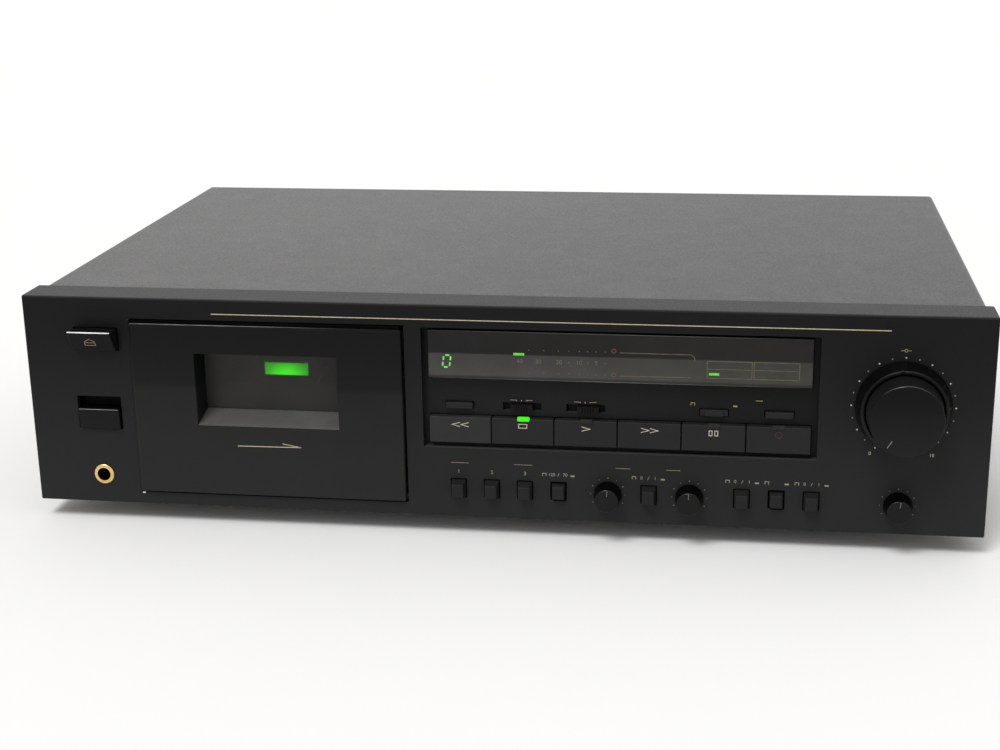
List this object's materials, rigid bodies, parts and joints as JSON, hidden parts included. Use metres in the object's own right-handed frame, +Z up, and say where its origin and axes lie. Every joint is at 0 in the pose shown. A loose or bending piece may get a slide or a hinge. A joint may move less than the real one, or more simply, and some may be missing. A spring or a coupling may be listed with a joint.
{
  "type": "cassette deck",
  "caption": "Full-size front-loading stereo cassette deck: a flat box with a tilting cassette door, a display, piano-style keys, push buttons, and a large level knob.",
  "frame": {"origin": "middle of the deck's overall box in plan, on the surface that its feet stand on", "axes": "+X to the right as the user faces the front, +Y to the rear, +Z up"},
  "size_m": [0.435, 0.298, 0.109],
  "materials": {
    "panel_black": "fine matt, slightly mottled",
    "door_black": "satin",
    "key_black": "satin",
    "knob_black": "satin",
    "case_paint": "satin paint, fine grain",
    "smoked_plastic": "polished smoked acrylic",
    "plated_steel": "zinc plated",
    "bright_steel": "ground",
    "gold_plate": "gold coloured plating",
    "holder_grey": "matt",
    "rubber": "matt",
    "board_green": "lacquered board",
    "display_glass": "dark glass",
    "lamp_green": "lit green lens",
    "core_steel": "varnished laminations",
    "motor_steel": "plated can"
  },
  "bodies": {
    "deck": {"front_panel": "panel_black", "control_bezel": "panel_black", "display_window": "smoked_plastic", "display_unit": "display_glass", "phones_jack": "gold_plate", "chassis_base": "plated_steel", "top_cover": "case_paint", "rear_panel": "case_paint", "foot_front_left": "rubber", "foot_front_right": "rubber", "foot_rear_left": "rubber", "foot_rear_right": "rubber", "control_board": "board_green", "main_board": "board_green", "power_transformer": "core_steel", "line_sockets": "gold_plate", "cord_gland": "rubber", "transport_frame": "plated_steel", "cassette_light": "lamp_green", "capstan_belt": "rubber", "capstan_motor": "motor_steel", "reel_motor": "motor_steel"},
    "door": {"cassette_door": "door_black", "door_window": "smoked_plastic", "cassette_holder": "holder_grey"},
    "eject": {"eject_button": "panel_black"},
    "power": {"power_button": "panel_black"},
    "supply_reel": {"supply_spindle": "holder_grey"},
    "takeup_reel": {"takeup_spindle": "holder_grey"},
    "supply_capstan_wheel": {"supply_capstan": "bright_steel"},
    "takeup_capstan_wheel": {"takeup_capstan": "bright_steel"},
    "heads": {"head_block": "plated_steel"},
    "supply_arm": {"supply_pinch_arm": "plated_steel"},
    "takeup_arm": {"takeup_pinch_arm": "plated_steel"},
    "supply_roller": {"supply_pinch_roller": "rubber"},
    "takeup_roller": {"takeup_pinch_roller": "rubber"},
    "rewind": {"rewind_key": "key_black"},
    "stop": {"stop_key": "key_black"},
    "play": {"play_key": "key_black"},
    "forward": {"forward_key": "key_black"},
    "pause": {"pause_key": "key_black"},
    "record": {"record_key": "key_black"},
    "reset": {"reset_button": "key_black"},
    "monitor": {"monitor_button": "key_black"},
    "record_mute": {"record_mute_button": "key_black"},
    "memory": {"memory_slide": "key_black"},
    "timer": {"timer_slide": "key_black"},
    "tape_one_push": {"tape_one_button": "knob_black"},
    "tape_two_push": {"tape_two_button": "knob_black"},
    "tape_three_push": {"tape_three_button": "knob_black"},
    "equaliser_push": {"equaliser_button": "knob_black"},
    "calibration_push": {"calibration_button": "knob_black"},
    "noise_reduction_push": {"noise_reduction_button": "knob_black"},
    "noise_type_push": {"noise_type_button": "knob_black"},
    "filter_push": {"filter_button": "knob_black"},
    "bias": {"bias_knob": "knob_black"},
    "level": {"level_knob": "knob_black"},
    "output": {"output_knob": "knob_black"},
    "balance": {"balance_ring": "knob_black"},
    "record_level": {"record_level_knob": "knob_black"}
  },
  "joints": [
    {"name": "door_tilt", "type": "hinge", "parent": "deck", "child": "door", "pos_m": [-0.1033, -0.1243, 0.0172], "axis": [1, 0, 0], "range_deg": [0, 22]},
    {"name": "eject_press", "type": "slide", "parent": "deck", "child": "eject", "axis": [0, 1, 0], "range_m": [0, 0.0045], "stiffness_N_per_m": 300, "springref_m": -0.002},
    {"name": "power_press", "type": "slide", "parent": "deck", "child": "power", "axis": [0, 1, 0], "range_m": [-0.0045, 0]},
    {"name": "rewind_press", "type": "slide", "parent": "deck", "child": "rewind", "axis": [0, 1, 0], "range_m": [0, 0.0015], "stiffness_N_per_m": 400, "springref_m": -0.001},
    {"name": "stop_press", "type": "slide", "parent": "deck", "child": "stop", "axis": [0, 1, 0], "range_m": [0, 0.0015], "stiffness_N_per_m": 400, "springref_m": -0.001},
    {"name": "play_press", "type": "slide", "parent": "deck", "child": "play", "axis": [0, 1, 0], "range_m": [0, 0.0015], "stiffness_N_per_m": 400, "springref_m": -0.001},
    {"name": "forward_press", "type": "slide", "parent": "deck", "child": "forward", "axis": [0, 1, 0], "range_m": [0, 0.0015], "stiffness_N_per_m": 400, "springref_m": -0.001},
    {"name": "pause_press", "type": "slide", "parent": "deck", "child": "pause", "axis": [0, 1, 0], "range_m": [0, 0.0015], "stiffness_N_per_m": 400, "springref_m": -0.001},
    {"name": "record_press", "type": "slide", "parent": "deck", "child": "record", "axis": [0, 1, 0], "range_m": [0, 0.0015], "stiffness_N_per_m": 400, "springref_m": -0.001},
    {"name": "reset_press", "type": "slide", "parent": "deck", "child": "reset", "axis": [0, 1, 0], "range_m": [0, 0.0015], "stiffness_N_per_m": 400, "springref_m": -0.001},
    {"name": "monitor_press", "type": "slide", "parent": "deck", "child": "monitor", "axis": [0, 1, 0], "range_m": [0, 0.0015], "stiffness_N_per_m": 400, "springref_m": -0.001},
    {"name": "record_mute_press", "type": "slide", "parent": "deck", "child": "record_mute", "axis": [0, 1, 0], "range_m": [0, 0.0015], "stiffness_N_per_m": 400, "springref_m": -0.001},
    {"name": "memory_travel", "type": "slide", "parent": "deck", "child": "memory", "axis": [1, 0, 0], "range_m": [-0.0035, 0.0035]},
    {"name": "timer_travel", "type": "slide", "parent": "deck", "child": "timer", "axis": [1, 0, 0], "range_m": [-0.0047, 0.0023]},
    {"name": "tape_one_press", "type": "slide", "parent": "deck", "child": "tape_one_push", "axis": [0, 1, 0], "range_m": [0, 0.003]},
    {"name": "tape_two_press", "type": "slide", "parent": "deck", "child": "tape_two_push", "axis": [0, 1, 0], "range_m": [0, 0.003]},
    {"name": "tape_three_press", "type": "slide", "parent": "deck", "child": "tape_three_push", "axis": [0, 1, 0], "range_m": [0, 0.003]},
    {"name": "equaliser_press", "type": "slide", "parent": "deck", "child": "equaliser_push", "axis": [0, 1, 0], "range_m": [-0.002, 0.001]},
    {"name": "calibration_press", "type": "slide", "parent": "deck", "child": "calibration_push", "axis": [0, 1, 0], "range_m": [0, 0.003]},
    {"name": "noise_reduction_press", "type": "slide", "parent": "deck", "child": "noise_reduction_push", "axis": [0, 1, 0], "range_m": [0, 0.003]},
    {"name": "noise_type_press", "type": "slide", "parent": "deck", "child": "noise_type_push", "axis": [0, 1, 0], "range_m": [-0.002, 0.001]},
    {"name": "filter_press", "type": "slide", "parent": "deck", "child": "filter_push", "axis": [0, 1, 0], "range_m": [0, 0.003]},
    {"name": "bias_turn", "type": "hinge", "parent": "deck", "child": "bias", "pos_m": [0.05231, -0.1285, 0.0227], "axis": [0, 1, 0], "range_deg": [-154, 146]},
    {"name": "level_turn", "type": "hinge", "parent": "deck", "child": "level", "pos_m": [0.0887, -0.1285, 0.0227], "axis": [0, 1, 0], "range_deg": [-150, 150]},
    {"name": "output_turn", "type": "hinge", "parent": "deck", "child": "output", "pos_m": [0.17965, -0.1285, 0.0227], "axis": [0, 1, 0], "range_deg": [-156, 144]},
    {"name": "balance_turn", "type": "hinge", "parent": "deck", "child": "balance", "pos_m": [0.17965, -0.1285, 0.0684], "axis": [0, 1, 0], "range_deg": [-144, 156]},
    {"name": "record_level_turn", "type": "hinge", "parent": "deck", "child": "record_level", "pos_m": [0.17965, -0.1285, 0.0684], "axis": [0, 1, 0], "range_deg": [0, 300]},
    {"name": "supply_reel_spin", "type": "hinge", "parent": "deck", "child": "supply_reel", "pos_m": [-0.12455, -0.1285, 0.066], "axis": [0, 1, 0], "continuous": true},
    {"name": "takeup_reel_spin", "type": "hinge", "parent": "deck", "child": "takeup_reel", "pos_m": [-0.08205, -0.1285, 0.066], "axis": [0, 1, 0], "continuous": true},
    {"name": "supply_capstan_spin", "type": "hinge", "parent": "deck", "child": "supply_capstan_wheel", "pos_m": [-0.1363, -0.1285, 0.0401], "axis": [0, 1, 0], "continuous": true},
    {"name": "takeup_capstan_spin", "type": "hinge", "parent": "deck", "child": "takeup_capstan_wheel", "pos_m": [-0.0703, -0.1285, 0.0401], "axis": [0, 1, 0], "continuous": true},
    {"name": "head_lift", "type": "slide", "parent": "deck", "child": "heads", "axis": [0, 0, 1], "range_m": [0, 0.006], "stiffness_N_per_m": 60, "springref_m": -0.004},
    {"name": "supply_arm_swing", "type": "hinge", "parent": "deck", "child": "supply_arm", "pos_m": [-0.1503, -0.1285, 0.027], "axis": [0, 1, 0], "range_deg": [-29.2, 0]},
    {"name": "takeup_arm_swing", "type": "hinge", "parent": "deck", "child": "takeup_arm", "pos_m": [-0.0563, -0.1285, 0.027], "axis": [0, 1, 0], "range_deg": [0, 29.2]},
    {"name": "supply_roller_spin", "type": "hinge", "parent": "supply_arm", "child": "supply_roller", "pos_m": [-0.13497, -0.1285, 0.0255], "axis": [0, 1, 0], "continuous": true},
    {"name": "takeup_roller_spin", "type": "hinge", "parent": "takeup_arm", "child": "takeup_roller", "pos_m": [-0.07163, -0.1285, 0.0255], "axis": [0, 1, 0], "continuous": true}
  ],
  "couplings": [
    {"joint": "takeup_capstan_spin", "follows": "supply_capstan_spin", "ratio": 1},
    {"joint": "supply_arm_swing", "follows": "head_lift", "rad_per_m": -84.358},
    {"joint": "takeup_arm_swing", "follows": "head_lift", "rad_per_m": 84.358}
  ]
}
